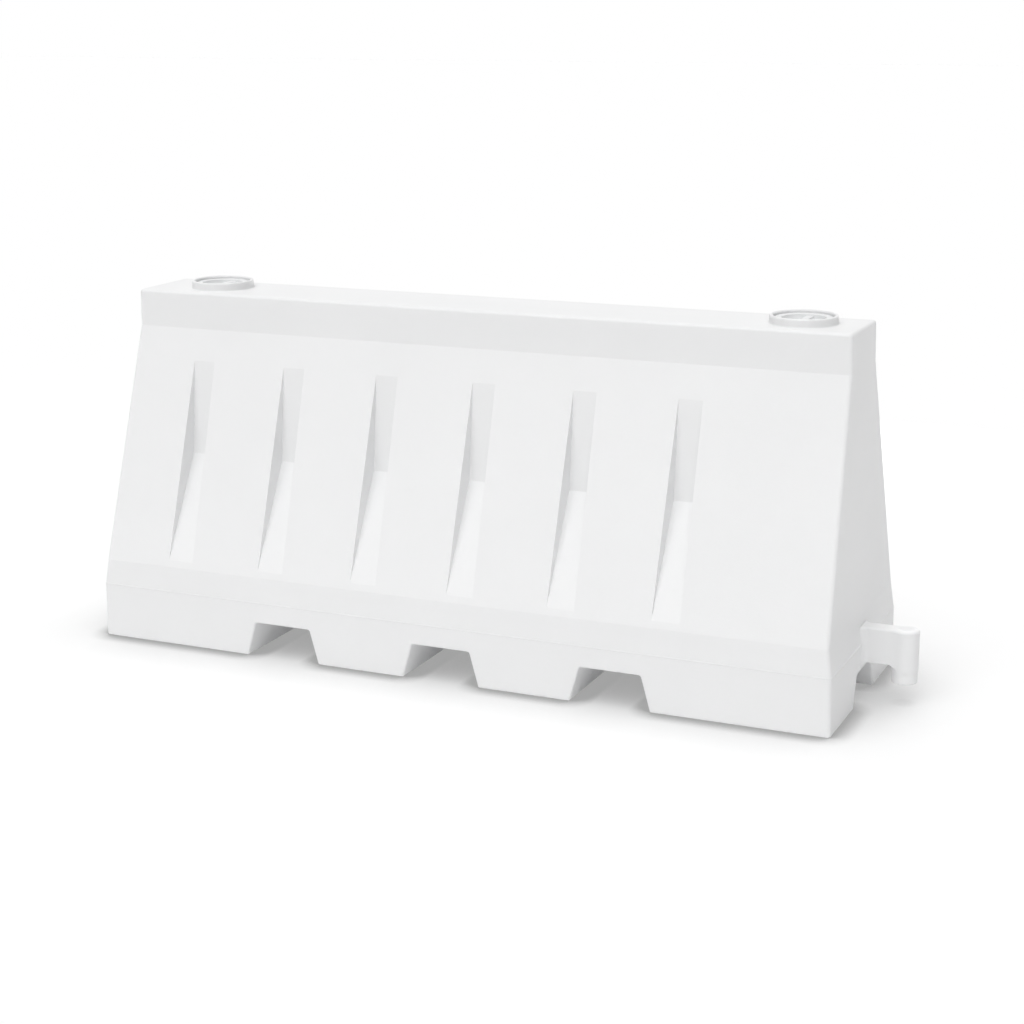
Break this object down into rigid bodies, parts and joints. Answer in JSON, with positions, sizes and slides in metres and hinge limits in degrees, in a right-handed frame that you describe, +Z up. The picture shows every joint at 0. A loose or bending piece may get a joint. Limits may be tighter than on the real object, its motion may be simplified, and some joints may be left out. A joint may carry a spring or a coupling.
{
  "type": "plastic safety barrier",
  "caption": "Water-filled plastic road barrier with sloping fluted sides, fork tunnels, a coupling lug and socket, filling plugs on top and drain plugs behind.",
  "frame": {"origin": "on the ground, under the middle of the outline with the lug included", "axes": "+X along the barrier towards the lug, +Y towards the back with the drains, +Z up"},
  "size_m": [2.1308, 0.612, 0.933],
  "materials": {
    "shell_plastic": "white polyethylene, satin, with a faint mould grain",
    "fill_plug_plastic": "white polyethylene, satin",
    "drain_plug_plastic": "dark grey polyethylene, satin",
    "seal_rubber": "black rubber, matt",
    "bush_brass": "turned brass, dull"
  },
  "bodies": {
    "barrier": {"barrier_shell": "shell_plastic", "drain_bush_left": "bush_brass", "drain_bush_right": "bush_brass"},
    "fill_seal_left_body": {"fill_seal_left": "seal_rubber"},
    "fill_plug_left_body": {"fill_plug_left": "fill_plug_plastic"},
    "fill_seal_right_body": {"fill_seal_right": "seal_rubber"},
    "fill_plug_right_body": {"fill_plug_right": "fill_plug_plastic"},
    "drain_seal_left_body": {"drain_seal_left": "seal_rubber"},
    "drain_plug_left_body": {"drain_plug_left": "drain_plug_plastic"},
    "drain_seal_right_body": {"drain_seal_right": "seal_rubber"},
    "drain_plug_right_body": {"drain_plug_right": "drain_plug_plastic"}
  },
  "joints": [
    {"name": "fill_left_lift", "type": "slide", "parent": "barrier", "child": "fill_seal_left_body", "axis": [0, 0, 1], "range_m": [0, 0.04801]},
    {"name": "fill_left_turn", "type": "hinge", "parent": "fill_seal_left_body", "child": "fill_plug_left_body", "pos_m": [-0.8445, 0, 0.92], "axis": [0, 0, 1], "range_deg": [0, 1080]},
    {"name": "fill_right_lift", "type": "slide", "parent": "barrier", "child": "fill_seal_right_body", "axis": [0, 0, 1], "range_m": [0, 0.04801]},
    {"name": "fill_right_turn", "type": "hinge", "parent": "fill_seal_right_body", "child": "fill_plug_right_body", "pos_m": [0.7565, 0, 0.92], "axis": [0, 0, 1], "range_deg": [0, 1080]},
    {"name": "drain_left_draw", "type": "slide", "parent": "barrier", "child": "drain_seal_left_body", "axis": [0, 1, 0], "range_m": [0, 0.04001]},
    {"name": "drain_left_turn", "type": "hinge", "parent": "drain_seal_left_body", "child": "drain_plug_left_body", "pos_m": [-0.8435, 0.2875, 0.062], "axis": [0, 1, 0], "range_deg": [0, 1800]},
    {"name": "drain_right_draw", "type": "slide", "parent": "barrier", "child": "drain_seal_right_body", "axis": [0, 1, 0], "range_m": [0, 0.04001]},
    {"name": "drain_right_turn", "type": "hinge", "parent": "drain_seal_right_body", "child": "drain_plug_right_body", "pos_m": [0.7125, 0.2875, 0.062], "axis": [0, 1, 0], "range_deg": [0, 1800]}
  ],
  "couplings": [
    {"joint": "fill_left_lift", "follows": "fill_left_turn", "m_per_rad": 0.0025465},
    {"joint": "fill_right_lift", "follows": "fill_right_turn", "m_per_rad": 0.0025465},
    {"joint": "drain_left_draw", "follows": "drain_left_turn", "m_per_rad": 0.0012732},
    {"joint": "drain_right_draw", "follows": "drain_right_turn", "m_per_rad": 0.0012732}
  ]
}
